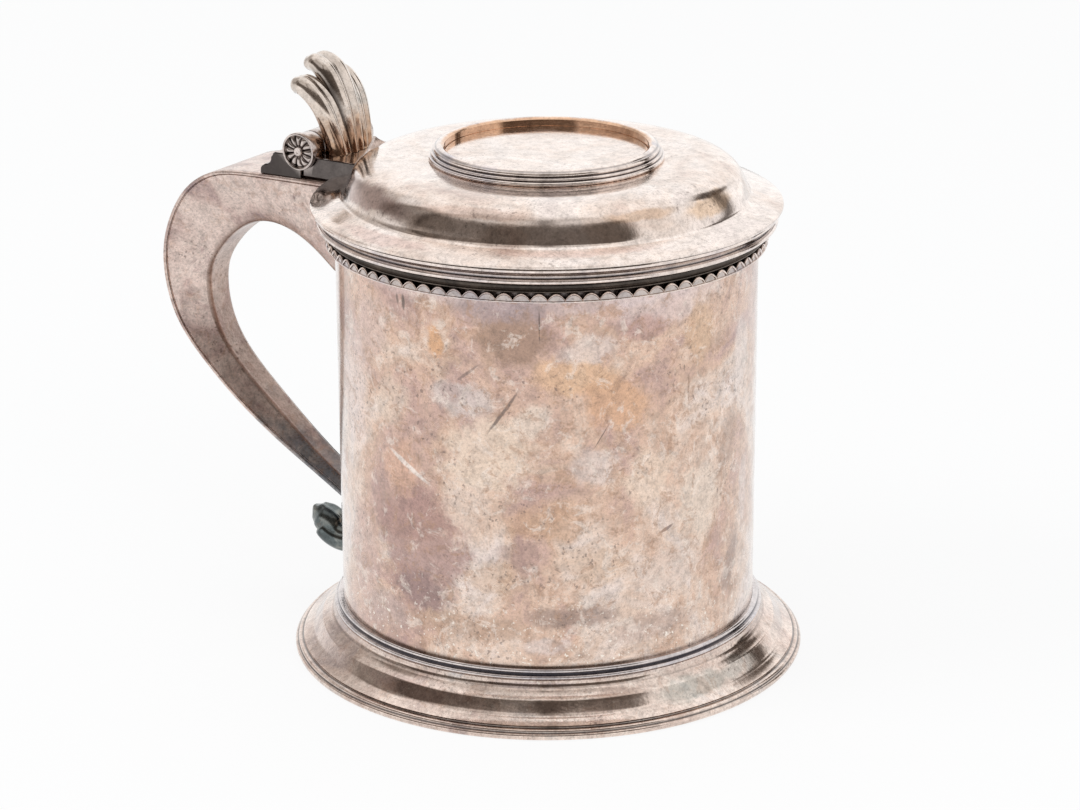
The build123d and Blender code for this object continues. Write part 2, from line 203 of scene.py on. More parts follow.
def across(loop, low, high, soft=0.35):
    """An (x, z) loop run along Y from low to high, with its end edges rounded."""
    rows = []
    for y, amount in ((low, soft), (low + 0.3 * soft, 0.3 * soft), (low + soft, 0),
                      (high - soft, 0), (high - 0.3 * soft, 0.3 * soft), (high, soft)):
        q = inset(loop, amount) if amount else np.asarray(loop, float)
        rows.append(np.stack([q[:, 0], np.full(len(q), y), q[:, 1]], 1))
    return tube(rows)


# Materials
def node(tree, kind, values=(), **props):
    """A node with its inputs linked or set. Inputs are named or numbered."""
    n = tree.nodes.new(kind)
    for key, value in props.items():
        setattr(n, key, value)
    for key, value in dict(values).items():
        if isinstance(value, bpy.types.NodeSocket):
            tree.links.new(value, n.inputs[key])
        else:
            n.inputs[key].default_value = value
    return n


def ramp(tree, fac, stops):
    """A colour ramp with the given (place, colour) stops."""
    n = node(tree, "ShaderNodeValToRGB", {"Fac": fac})
    e = n.color_ramp.elements
    while len(e) < len(stops):
        e.new(0.5)
    for item, (place, colour) in zip(e, stops):
        item.position = place
        item.color = (*colour, 1)
    return n.outputs["Color"]


def noise(tree, vector, scale, detail=4.0, rough=0.55, warp=0.0):
    """A noise's value, about 0.5 on average."""
    n = node(tree, "ShaderNodeTexNoise",
             {"Vector": vector, "Scale": scale, "Detail": detail, "Roughness": rough, "Distortion": warp})
    return n.outputs["Fac"]


def mix(tree, fac, a, b, how="MIX"):
    """Colour a, with b blended in by fac. Each is a socket or a value."""
    n = node(tree, "ShaderNodeMix", data_type="RGBA", blend_type=how)
    for key, value in ((0, fac), (6, a), (7, b)):
        if isinstance(value, bpy.types.NodeSocket):
            tree.links.new(value, n.inputs[key])
        else:
            n.inputs[key].default_value = value if key == 0 else (*value, 1)
    return n.outputs[2]


def tint(*rgb):
    """A colour as it looks on a screen, 0 to 255, as light."""
    return tuple(((c / 255 + 0.055) / 1.055) ** 2.4 for c in rgb)


def greys(*stops):
    """Grey stops for a ramp, from (place, value)."""
    return [(place, (v, v, v)) for place, v in stops]


def spans(tree, value, low, high, a=0.0, b=1.0):
    """A smooth step from a at low to b at high."""
    return node(tree, "ShaderNodeMapRange", {0: value, 1: low, 2: high, 3: a, 4: b},
                interpolation_type="SMOOTHSTEP").outputs[0]


def maths(tree, how, *values):
    """One step of arithmetic on numbers."""
    return node(tree, "ShaderNodeMath", dict(enumerate(values)), operation=how).outputs[0]


def vectors(tree, how, *values):
    """One step of arithmetic on vectors, as the node's outputs."""
    return node(tree, "ShaderNodeVectorMath", dict(enumerate(values)), operation=how).outputs


def stains_and_reflections(tree, where, colour, marks):
    """Stains, scratches and painted reflections by place on the unrolled drum, with ragged edges, from a
    table of marks.
    """
    parts = node(tree, "ShaderNodeSeparateXYZ", {0: where}).outputs
    angle = maths(tree, "ARCTAN2", parts["Y"], parts["X"])
    along_drum = maths(tree, "MULTIPLY", angle, DRUM_R)
    flat = node(tree, "ShaderNodeCombineXYZ", {0: along_drum, 1: maths(tree, "MULTIPLY", parts["Z"], 1 / MM)})
    ragged = node(tree, "ShaderNodeTexNoise",
                  {"Vector": where, "Scale": 120.0, "Detail": 8.0, "Roughness": 0.7})
    push = vectors(tree, "SUBTRACT", ragged.outputs["Color"], (0.5, 0.5, 0.5))[0]
    for along, up, length, high, tilt, tone, strength in marks:
        loose = min(length, high) * 2.0
        bent = vectors(tree, "MULTIPLY_ADD", push, (loose,) * 3, flat.outputs[0])[0]
        spot = node(tree, "ShaderNodeMapping", {
            "Vector": bent, "Location": (along, up, 0), "Rotation": (0, 0, math.radians(tilt)),
            "Scale": (length, high, 1e3)}, vector_type="TEXTURE")
        far = vectors(tree, "LENGTH", spot.outputs[0])["Value"]
        colour = mix(tree, spans(tree, far, 1.05, 0.55, 0.0, strength), colour, tint(*tone))
    return colour


def banded(tree, where, place, colour, bands):
    """Toning that comes in along Z or the radius R, in metres, with a ragged edge, from a table of
    (along, from, to, tone, strength)."""
    parts = node(tree, "ShaderNodeSeparateXYZ", {0: where}).outputs
    flat = vectors(tree, "MULTIPLY", where, (1, 1, 0))[0]
    far = vectors(tree, "LENGTH", flat)["Value"]
    ragged = noise(tree, place, 160.0, 6.0, 0.65)
    for along, start, end, tone, strength in bands:
        reach = abs(end - start)
        shift = maths(tree, "MULTIPLY_ADD", ragged, 2.2 * reach, parts["Z"] if along == "Z" else far)
        come = spans(tree, shift, start + 1.1 * reach, end + 1.1 * reach, 0.0, strength)
        colour = mix(tree, come, colour, tint(*tone))
    return colour


def silver(name, tones, blotch, rough, grain=0.12, pits=0.35, sparks=0.0, offset=0.0, coat=0.5, marks=(),
           bands=(), tarnish_and_shade_tone=(72, 64, 62), rust=0.0):
    """Old silver: blotches of toning with fine grain, dark pits and pale specks, hairline scratches, uneven
    polish, and dark tarnish and painted shade where the mesh's tarnish_and_shade attribute asks for it.
    blotch is the scale of the toning, rough the polish from its best to its worst, and offset a shift that
    makes each silver differ."""
    mat = bpy.data.materials.new(name)
    mat.use_nodes = True
    t = mat.node_tree
    shader = t.nodes["Principled BSDF"]
    where = node(t, "ShaderNodeTexCoord").outputs["Object"]
    shift = (offset, 0.7 * offset, 1.3 * offset)
    place = node(t, "ShaderNodeMapping", {"Vector": where, "Location": shift}).outputs[0]
    colour = ramp(t, noise(t, place, blotch, 8.0, 0.66, 0.7), [(p, tint(*c)) for p, c in tones])
    shade = ramp(t, noise(t, place, blotch * 3.1, 6.0, 0.7, 0.5),
                 greys((0.34, 0.80), (0.5, 1.0), (0.68, 1.10)))
    colour = mix(t, 0.8, colour, shade, "MULTIPLY")
    colour = stains_and_reflections(t, where, colour, marks) if marks else colour
    colour = banded(t, where, place, colour, bands) if bands else colour
    if rust:
        brown = spans(t, noise(t, place, 200.0, 9.0, 0.76, 0.8), 0.53, 0.60, 0.0, rust)
        colour = mix(t, brown, colour, tint(178, 140, 114))
        clean = spans(t, noise(t, where, 170.0, 9.0, 0.74, 0.8), 0.54, 0.62, 0.0, rust)
        colour = mix(t, clean, colour, tint(238, 222, 210))
    fleck = ramp(t, noise(t, place, 380.0, 6.0, 0.72, 0.4), greys((0.38, 0.80), (0.5, 1.0), (0.62, 1.09)))
    colour = mix(t, 1.0, colour, fleck, "MULTIPLY")
    sand = ramp(t, noise(t, place, 1500.0, 4.0, 0.75),
                greys((0.32, 1 - 2.2 * grain), (0.5, 1.0), (0.66, 1 + grain)))
    colour = mix(t, 1.0, colour, sand, "MULTIPLY")
    zones = spans(t, noise(t, place, 45.0, 5.0, 0.65), 0.44, 0.62)
    dots = spans(t, noise(t, place, 900.0, 2.0, 0.5), 0.40, 0.30)
    pitted = maths(t, "MULTIPLY", maths(t, "MULTIPLY", zones, dots), pits)
    colour = mix(t, pitted, colour, tint(95, 78, 72))
    if sparks:
        height = node(t, "ShaderNodeSeparateXYZ", {0: where}).outputs["Z"]
        near_foot = spans(t, height, 0.045, 0.018)
        bright = spans(t, noise(t, place, 900.0, 2.0, 0.5), 0.645, 0.70)
        specks = maths(t, "MULTIPLY", maths(t, "MULTIPLY", near_foot, bright), sparks)
        colour = mix(t, specks, colour, tint(250, 240, 228))
    # Darkens toward the given tone by the tarnish_and_shade attribute: tarnish, and painted shade in recesses
    # and under mouldings.
    tarnish_and_shade = node(t, "ShaderNodeAttribute", attribute_name="tarnish_and_shade", attribute_type="GEOMETRY").outputs["Fac"]
    colour = mix(t, maths(t, "MULTIPLY", tarnish_and_shade, 0.94), colour, tint(*tarnish_and_shade_tone))
    hair = []
    for turn, scale in (((0.5, 0.4, 0.2), (900.0, 900.0, 24.0)), ((-0.7, 0.9, 0.1), (30.0, 1100.0, 1100.0))):
        lines = node(t, "ShaderNodeMapping", {"Vector": where, "Rotation": turn, "Scale": scale})
        hair.append(noise(t, lines.outputs[0], 1.0, 2.0, 0.5))
    relief = maths(t, "ADD", maths(t, "ADD", *hair), noise(t, place, 420.0, 3.0, 0.6))
    bump = node(t, "ShaderNodeBump", {"Height": relief, "Strength": 0.06, "Distance": 0.2 * MM})
    swell = node(t, "ShaderNodeBump", {"Height": noise(t, place, 60.0, 2.0, 0.4), "Strength": 0.04,
                                       "Distance": MM, "Normal": bump.outputs["Normal"]})
    gloss = spans(t, noise(t, place, blotch * 1.7, 4.0, 0.65), 0.3, 0.72, *rough)
    t.links.new(colour, shader.inputs["Base Color"])
    t.links.new(gloss, shader.inputs["Roughness"])
    t.links.new(swell.outputs["Normal"], shader.inputs["Normal"])
    shader.inputs["Metallic"].default_value = 1.0
    shader.inputs["Coat Weight"].default_value = coat
    shader.inputs["Coat Roughness"].default_value = 0.1
    shader.inputs["Coat IOR"].default_value = 1.7
    return mat


# Stains, scratches and painted reflections: place round the drum and up, half length, half height
# (millimetres), tilt (degrees), screen colour, strength
DRUM_STAINS_AND_REFLECTIONS = [
    # The first two marks are painted reflections: pale bands down the drum's two edges as the camera sees
    # them.
    (-147, 70, 17, 62, 0, (240, 231, 227), 0.85), (33, 70, 15, 62, 0, (238, 229, 224), 0.85),
    (-60, 117, 62, 5, 0, (208, 190, 190), 0.55), (-24, 113, 22, 8, 0, (224, 208, 208), 0.5),
    (-122, 84, 10, 22, 0, (226, 204, 196), 0.6), (-112, 104, 8, 10, 0, (214, 188, 180), 0.5),
    (-95, 45, 17, 21, 0, (170, 132, 124), 0.8), (-94, 33, 11, 6, -15, (146, 120, 118), 0.65),
    (-118, 38, 9, 16, 0, (204, 172, 162), 0.6), (-108, 24, 12, 6, 0, (196, 172, 164), 0.6),
    # The mark at (-67, 105) is a painted dark reflection.
    (-70, 113, 17, 5, 0, (168, 148, 148), 0.75), (-67, 105, 12, 8, 10, (164, 132, 112), 0.85),
    (-88, 103, 3, 5, 0, (222, 172, 130), 0.9), (-51, 96, 13, 7, 0, (226, 184, 146), 0.7),
    (-39, 88, 11, 9, -20, (216, 170, 134), 0.8), (-14, 104, 7, 11, 0, (214, 178, 146), 0.75),
    (-47, 103, 9, 4, 5, (230, 214, 206), 0.6), (-74, 74, 15, 13, 0, (236, 214, 194), 0.75),
    (-46, 71, 8, 6, 0, (218, 202, 196), 0.6), (-57, 56, 13, 7, 0, (206, 166, 136), 0.7),
    (-62, 84, 7, 5, 20, (238, 220, 204), 0.7), (-30, 66, 9, 9, 0, (232, 208, 188), 0.7),
    (-80, 58, 8, 7, -10, (228, 204, 188), 0.6), (-24, 38, 14, 8, 10, (222, 202, 190), 0.6),
    (-1, 70, 5, 12, -10, (176, 148, 132), 0.55), (1, 34, 4, 11, -18, (156, 132, 122), 0.7),
    (6, 92, 5, 12, 0, (224, 208, 200), 0.7), (9, 52, 4, 12, 0, (220, 202, 196), 0.6),
    (-13, 56, 9, 13, 0, (228, 210, 194), 0.7), (-32, 107, 7, 4, 0, (186, 148, 138), 0.7),
    (-100, 66, 8, 9, 0, (220, 176, 150), 0.65), (-81, 89, 10, 6, 0, (214, 200, 194), 0.75),
    (-104, 84, 7, 8, 0, (226, 204, 186), 0.6), (-72, 40, 10, 6, 0, (210, 178, 152), 0.6),
    (-45, 44, 12, 6, -8, (216, 186, 162), 0.6), (-66, 47, 6, 4, 0, (178, 146, 134), 0.55),
    (-80, 25, 22, 4, 0, (188, 156, 134), 0.7), (-52, 29, 15, 3.5, 0, (162, 136, 124), 0.75),
    (-58, 21, 8, 3, 0, (224, 208, 202), 0.6), (-28, 24, 14, 5, 0, (180, 152, 138), 0.6),
    (-97.5, 67, 9.0, 0.9, -28, (244, 234, 226), 0.75), (-69.6, 86, 8.5, 0.55, 55, (104, 86, 78), 0.8),
    (-60, 109.5, 5.2, 0.2, 90, (86, 70, 60), 0.9), (-98.5, 112, 2.6, 0.7, 92, (98, 82, 74), 0.85),
    (-100.5, 112.5, 1.8, 0.5, 95, (114, 98, 90), 0.75), (-44, 79, 4.2, 0.18, 58, (124, 102, 92), 0.85),
    (-25, 50.6, 2.6, 0.6, 22, (130, 108, 102), 0.8), (-79, 96, 4.5, 0.5, 38, (128, 106, 98), 0.7),
    # The mark at (-18, 88) is a painted dark reflection, a thin upright bar.
    (-84, 90, 3.5, 3.5, 20, (176, 148, 142), 0.55), (-18, 88, 0.4, 5.0, 0, (164, 132, 112), 0.7),
]
FOOT_MARKS = [
    (-20, 7, 13, 3, 0, (150, 166, 160), 0.4), (-4, 7, 8, 3, 0, (176, 184, 180), 0.4),
    (-92, 7, 20, 2.2, 0, (186, 158, 150), 0.5), (-58, 6.5, 8, 1.5, 0, (176, 152, 144), 0.4),
    (-128, 6, 14, 3.5, 0, (222, 204, 198), 0.6), (-40, 8.5, 8, 1.5, 0, (168, 142, 128), 0.6),
    (-34, 13.5, 40, 1.6, 0, (150, 142, 146), 0.45), (-62, 11, 14, 0.9, 0, (150, 134, 144), 0.4),
]
LID_MARKS = [
    (-124, 134.5, 30, 3.2, 0, (150, 120, 112), 0.7), (-80, 136.6, 22, 1.5, 0, (190, 156, 138), 0.5),
    (-4, 134.2, 13, 3.0, 0, (230, 190, 146), 0.55), (-30, 135.6, 14, 1.6, 0, (214, 176, 140), 0.45),
    (-104, 128.4, 18, 0.8, 0, (206, 176, 166), 0.6), (-50, 128.8, 26, 0.5, 0, (226, 200, 190), 0.5),
]
drum_silver = silver("drum_silver", [
    (0.30, (176, 142, 136)), (0.40, (204, 170, 156)), (0.48, (216, 182, 160)), (0.55, (228, 202, 184)),
    (0.63, (232, 214, 204)), (0.74, (208, 190, 188))], blotch=34.0, rough=(0.2, 0.36), grain=0.11, pits=0.6,
    sparks=0.9, coat=0.8, marks=DRUM_STAINS_AND_REFLECTIONS, tarnish_and_shade_tone=(48, 42, 38), rust=0.55)
foot_silver = silver("foot_silver", [
    (0.30, (186, 166, 160)), (0.42, (220, 198, 186)), (0.56, (238, 220, 208)), (0.74, (200, 196, 196))],
    blotch=44.0, rough=(0.10, 0.22), grain=0.14, pits=0.6, sparks=0.5, offset=0.31, coat=0.4,
    marks=FOOT_MARKS, tarnish_and_shade_tone=(58, 54, 54), rust=0.3)
lid_silver = silver("lid_silver", [
    (0.30, (206, 182, 170)), (0.42, (228, 210, 198)), (0.56, (238, 225, 217)), (0.74, (224, 210, 204))],
    blotch=40.0, rough=(0.08, 0.2), grain=0.11, pits=0.5, offset=0.13, coat=0.3, marks=LID_MARKS)
edge_silver = silver("edge_silver", [
    (0.30, (204, 196, 200)), (0.50, (236, 222, 214)), (0.68, (244, 230, 220))],
    blotch=60.0, rough=(0.08, 0.18), grain=0.08, offset=0.57, coat=0.3, tarnish_and_shade_tone=(60, 58, 68),
    bands=[("R", 0.0286, 0.0278, (216, 164, 118), 0.75), ("Z", 0.0165, 0.0155, (170, 176, 188), 0.35)])
# A near-black silver whose colour is painted shade, for the lip's cove under the lid's edge.
lip_shade_silver = silver("lip_shade_silver", [
    (0.30, (70, 64, 60)), (0.55, (104, 94, 86)), (0.75, (132, 118, 108))],
    blotch=90.0, rough=(0.25, 0.4), offset=0.71, coat=0.1, tarnish_and_shade_tone=(40, 36, 34))
handle_silver = silver("handle_silver", [
    (0.28, (146, 126, 128)), (0.40, (192, 166, 158)), (0.50, (218, 196, 186)), (0.60, (226, 206, 196)),
    (0.68, (184, 160, 154)), (0.80, (140, 150, 160))], blotch=72.0, rough=(0.36, 0.5), grain=0.14, pits=0.6,
    offset=0.93, coat=0.5, tarnish_and_shade_tone=(116, 86, 66), rust=0.3, bands=[("Z", 0.056, 0.034, (112, 122, 130), 0.8)])
leaf_silver = silver("leaf_silver", [
    (0.30, (62, 68, 70)), (0.50, (96, 104, 104)), (0.70, (146, 146, 140))],
    blotch=150.0, rough=(0.14, 0.28), offset=0.15, coat=0.3)
thumb_silver = silver("thumb_silver", [
    (0.28, (168, 158, 150)), (0.44, (212, 198, 186)), (0.60, (226, 214, 204)), (0.76, (166, 174, 172))],
    blotch=60.0, rough=(0.10, 0.2), grain=0.08, offset=0.47, coat=0.3, tarnish_and_shade_tone=(56, 46, 40),
    bands=[("Z", 0.147, 0.136, (182, 138, 98), 0.75)])
hinge_silver = silver("hinge_silver", [
    (0.30, (160, 150, 148)), (0.50, (204, 192, 186)), (0.70, (224, 212, 206))],
    blotch=90.0, rough=(0.10, 0.22), offset=0.22, coat=0.1, tarnish_and_shade_tone=(56, 50, 48))


# Drum and foot
def make_drum():
    """The drum's wall, with painted shade under the mouth's mouldings and a lighter painted shade where the
    foot's reeds meet it.
    """
    low = 11.3
    inner = DRUM_R - 1.2
    reeds_top, wire_low = 15.4, 116.4
    wall = path((inner, low), (DRUM_R - 0.1, low), (DRUM_R, low + 0.1), (DRUM_R, reeds_top), (DRUM_R, 16.2),
                (DRUM_R, wire_low - 0.1), (DRUM_R, wire_low + 0.25), (DRUM_R, RIM_Z - 0.3),
                ((DRUM_R - 0.1, RIM_Z - 0.08), (DRUM_R - 0.3, RIM_Z)), (inner + 0.3, RIM_Z),
                ((inner + 0.1, RIM_Z - 0.08), (inner, RIM_Z - 0.3)))
    # Painted shade: 0.9 under the mouth's mouldings, 0.3 where the foot's reeds meet the wall and inside it.
    tarnish_and_shade = [0.9 if z > wire_low else 0.3 if z <= reeds_top else 0.0 for _, z in wall]
    add("drum", *lathe(wall), drum_silver, "vessel", ["body_drum"], tarnish_and_shade=np.repeat(tarnish_and_shade, ROUND))


def make_foot():
    """The skirt with its shoulder, slope and rolls, the rim wire under it and the collar's two reeds."""
    skirt = path(
        (SEAT_R, 12.3), (59.45, 12.3), ((59.62, 12.2), (59.68, 12.0)), ((59.85, 11.1), (60.35, 10.4)),
        (60.8, 10.15), ((61.8, 9.25), (63.0, 8.5)), ((63.3, 8.28), (63.52, 8.0)), (65.3, 5.6),
        ((65.85, 4.98), (66.6, 4.5)), ((67.6, 3.85), (68.65, 3.3)), (68.5, 3.06), (67.2, 3.06), (65.2, 4.2),
        (62.6, 7.1), (60.9, 8.2), (59.2, 9.6), (58.8, 11.3), (SEAT_R, 11.3))
    add("foot_flare", *lathe(skirt), foot_silver, "vessel", ["foot_skirt"], tarnish_and_shade=hollows(skirt))
    wire = path(
        (66.5, 0.07), (69.6, 0.07), ((70.75, 0.3), (71.0, 0.95)), ((70.9, 1.6), (70.35, 1.85)), (70.2, 1.95),
        ((70.1, 2.45), (69.4, 2.75)), (68.9, 2.8), (68.7, 3.0), (66.5, 3.0))
    add("foot_wire", *lathe(wire), foot_silver, "vessel", ["foot_rim_wire"], "polished_silver",
        tarnish_and_shade=hollows(wire))
    collar = path(
        (SEAT_R, 12.35), (59.1, 12.35), ((59.75, 12.85), (59.15, 13.35)), (58.75, 13.4), (58.5, 13.6),
        (58.5, 13.8), ((58.85, 14.45), (58.15, 15.0)), (57.7, 15.05), (SEAT_R, 15.05))
    add("foot_reeds", *lathe(collar), edge_silver, "vessel", ["foot_collar"], tarnish_and_shade=hollows(collar))


def make_mouth():
    """The lip's cove over a wire whose top rises and falls as |cos(n t / 2)| ** SCALLOP_BEND, in n scallops
    with a raised edge and a sunk field."""
    low = RIM_Z - 2.75
    band = path((SEAT_R, low), (59.1, low), ((59.35, low + 0.15), (59.35, low + 0.4)),
                ((58.75, low + 1.4), (59.75, low + 2.3)), ((59.95, low + 2.55), (59.75, RIM_Z)),
                (SEAT_R, RIM_Z))
    # The cove's near-black colour is painted shade under the lid's edge.
    add("lip_cove", *lathe(band), lip_shade_silver, "vessel", ["lip_band"], tarnish_and_shade=hollows(band))
    foot = 116.35
    valley = foot + 0.95
    top = low - 0.05
    inner = DRUM_R + 0.1
    count = SCALLOPS * 16
    t = np.arange(count) * 2 * math.pi / count
    rise = valley + (top - valley) * np.abs(np.cos(t * SCALLOPS / 2)) ** SCALLOP_BEND
    sunk = np.maximum(foot + 0.55, rise - 0.75)
    tarnish_and_shade = []
    rows = []
    # The last number of each row is painted shade: in the sunk field, at the top edge and on the inside face
    # under the lip.
    for r, z, dark in ((inner, foot, 0), (59.45, foot, 0), (59.7, foot + 0.12, 0), (59.7, foot + 0.33, 0),
                       (59.35, foot + 0.5, 0.4), (59.35, sunk, 0.4), (59.74, rise - 0.55, 0),
                       (59.88, rise - 0.32, 0), (59.72, rise - 0.08, 0), (59.45, rise, 0.3),
                       (inner, rise, 0.9)):
        rows.append(np.stack([r * np.cos(t), r * np.sin(t), z + 0 * t], 1))
        tarnish_and_shade.append(np.full(count, dark))
    rows = np.array(rows)
    add("scallop_wire", rows.reshape(-1, 3), ring_faces(len(rows), count, close_rows=True), edge_silver,
        "vessel", ["scalloped_wire"], "polished_silver", angle=50, tarnish_and_shade=tarnish_and_shade)


# Lid
def make_lid():
    """The cover with its flange and dome, the moulding under its edge, and the ring and plate on top."""
    flange = [(63.2, 126.42), (63.62, 126.5), (63.8, 126.85), (63.72, 127.25), (63.2, 127.55), (60.4, 128.15),
              (57.6, 128.85), (56.1, 129.3), (55.45, 129.5), (54.95, 129.85), (54.6, 130.4)]
    dome = [(54.3, 131.2), (53.9, 132.2), (53.4, 133.3), (52.7, 134.6), (51.7, 136.0), (50.2, 137.2),
            (48.2, 138.15), (45.8, 138.75), (43.0, 139.05), (38.0, 139.13), (31.0, 139.15)]
    outer = flange + [tuple(p) for p in spline([flange[-1]] + dome, 40)[1:]]
    inner = [(12.0, 138.0), (44.4, 137.9), (48.6, 136.9), (51.0, 134.9), (52.4, 132.0), (52.6, 128.3),
             (55.1, 128.3), (59.0, 127.35), (62.6, 126.42)]
    profile = [(0, 138.05)] + inner + outer + [(0, 139.15)]
    add("lid_dome", *lathe(profile), lid_silver, "lid", ["lid_cover"], "polished_silver")
    edge = path(
        (57.5, 122.05), (61.6, 122.05), ((62.4, 122.65), (61.7, 123.3)), (61.15, 123.45),
        ((61.45, 124.6), (62.2, 125.2)), ((63.1, 125.5), (63.05, 126.15)), (62.4, 126.35), (62.2, 126.4),
        (57.5, 127.5))
    add("lid_edge", *lathe(edge), edge_silver, "lid", ["lid_edge_moulding"], "polished_silver",
        tarnish_and_shade=hollows(edge))
    ring = path(
        (27.5, 139.2), (31.4, 139.2), ((31.75, 139.75), (31.3, 140.3)), (30.95, 140.4),
        ((31.1, 140.85), (30.6, 141.25)), (30.25, 141.35), ((30.35, 142.05), (29.75, 142.6)),
        ((28.75, 143.1), (27.85, 142.8)), (27.5, 142.5))
    add("ring_frame", *lathe(ring), edge_silver, "lid", ["medallion_ring"], "polished_silver",
        tarnish_and_shade=hollows(ring))
    plate = [(0, 139.25), (27.4, 139.25), (27.4, 140.6), (27.25, 140.75), (0, 140.75)]
    add("ring_plate", *lathe(plate), lid_silver, "lid", ["medallion_plate"], "polished_silver")


# Handle: its back and its finger side as (distance from the drum's axis, height), and half its width
# there by share of its length
HANDLE_BACK = [(62.0, 126.1), (92.0, 125.3), (102.0, 124.0), (112.0, 118.6), (119.5, 108.5), (122.9, 98.5),
               (123.2, 89.5), (120.3, 77.0), (112.8, 65.8), (102.0, 54.9), (88.8, 44.7), (74.0, 35.2),
               (54.3, 22.6)]
HANDLE_FINGERS = [(54.3, 91.6), (65.5, 99.3), (71.4, 103.6), (78.5, 107.4), (86.7, 109.3), (94.5, 108.3),
                  (102.1, 104.0), (108.0, 98.0), (111.4, 92.0), (112.2, 85.5), (111.3, 79.0), (107.0, 69.5),
                  (100.6, 62.2), (92.5, 54.9), (82.4, 46.3), (71.5, 38.0), (54.3, 27.1)]
BACK_HALF = [(0, 14.0), (0.27, 14.0), (0.45, 12.5), (0.52, 11.4), (0.62, 9.6), (0.72, 8.4), (0.84, 7.0),
             (1, 5.5)]
FINGER_HALF = [(0, 9.2), (0.22, 6.7), (0.33, 5.2), (0.47, 4.5), (0.65, 3.9), (0.85, 3.4), (1, 2.9)]


def envelope(z):
    """Radius that the drum, the mouth's mouldings and the lid's edge take at a height."""
    return np.where(z < 116.3, SEAT_R, np.where(z < RIM_Z, 59.95, 64.4))


def handle_skin(loop):
    """Strings along the handle, one for each section point (depth share, side share, shift in, shift deep),
    each cut where it meets the drum or the mouth, and spaced evenly again."""
    fine, blur = 400, 20
    back, fingers = spline(HANDLE_BACK, fine), spline(HANDLE_FINGERS, fine)
    share = np.linspace(0, 1, fine)
    wide = np.interp(share, *zip(*BACK_HALF))
    thin = np.interp(share, *zip(*FINGER_HALF))
    kernel = np.hanning(2 * blur + 1) / np.hanning(2 * blur + 1).sum()
    for half in (wide, thin):
        half[:] = np.convolve(np.pad(half, blur, mode="edge"), kernel, "valid")
    inward = fingers - back
    depth = np.linalg.norm(inward, axis=1)
    inward /= depth[:, None]
    strings = []
    for deep, side, set_in, shift in loop:
        d = deep * depth + shift
        half = wide + (thin - wide) * d / depth - set_in
        q = back + inward * d[:, None]
        p = np.stack([-q[:, 0], side * half, q[:, 1]], 1)
        clear = np.hypot(p[:, 0], p[:, 1]) - envelope(p[:, 2])
        out = np.nonzero(clear > 0)[0]
        first, last = out[0], out[-1]
        parts = [p[first:last + 1]]
        if first > 0:
            k = clear[first] / (clear[first] - clear[first - 1])
            parts.insert(0, (p[first] + (p[first - 1] - p[first]) * k)[None])
        if last < fine - 1:
            k = clear[last] / (clear[last] - clear[last + 1])
            parts.append((p[last] + (p[last + 1] - p[last]) * k)[None])
        q = np.concatenate(parts)
        t = np.r_[0, np.cumsum(np.linalg.norm(np.diff(q, axis=0), axis=1))]
        s = np.linspace(0, t[-1], HANDLE_ROWS)
        strings.append(np.stack([np.interp(s, t, q[:, i]) for i in range(3)], 1))
    return np.array(strings).transpose(1, 0, 2)


def make_handle():
    """The strap down the back, with rounded edges, and the hollow bow that it closes, both as sections of
    handle_skin's points. The bow is darkened round its belly as painted shade on its underside."""
    soft, thick, wall, gap = 1.1, 1.4, 1.3, 0.05
    corner = [(soft * (1 - math.sin(a)), soft * (1 - math.cos(a))) for a in np.linspace(0, math.pi / 2, 5)]
    strap = []
    for side in (1, -1):
        edge = [(0.0, side, x, d) for x, d in corner[::-1]]
        edge += [(0.0, side, 0.0, thick - 0.15), (0.0, side, 0.15, thick)]
        strap += edge if side == 1 else edge[::-1]
    back = [(0.0, s, 0.0, 0.0) for s in np.linspace(-0.9, 0.9, 9)]
    add("handle_back", *tube(handle_skin(strap + back)), handle_silver, "vessel", ["handle_strap"])
    top = thick + gap
    side = [(0.0, 1, 0.12, top), (0.0, 1, 0.0, top + 0.12)]
    side += [(k, 1, 0.0, top * (1 - k)) for k in np.linspace(0.12, 0.9, 9)]
    turn = [(1.0, 1, x, -d) for x, d in [(0.0, 0.9), (0.08, 0.5), (0.3, 0.2), (0.7, 0.0)]]
    belly = [(1.0, s, 0.0, 0.0) for s in (0.75, 0.5, 0.25, 0.0)]
    half = side + turn + belly
    outside = half + [(a, -b, c, d) for a, b, c, d in half[-2::-1]]
    inside = []
    for s in (-1, 1):
        run = [(0.0, s, wall, top), (0.35, s, wall, 0.0), (0.7, s, wall, 0.0), (1.0, s, wall, -wall)]
        inside += run if s == -1 else run[::-1]
    # Painted shade on the bow's underside, darkest where its side turns into the belly.
    belly_shade = [0.0] * (len(side) - 1) + [0.1] + [0.5, 0.65, 0.5, 0.3] + [0.35] * len(belly)
    tarnish_and_shade = belly_shade + belly_shade[-2::-1] + [0.0] * len(inside)
    add("handle_bow", *tube(handle_skin(outside + inside)), handle_silver, "vessel", ["handle_grip"],
        angle=40, tarnish_and_shade=np.tile(tarnish_and_shade, HANDLE_ROWS))


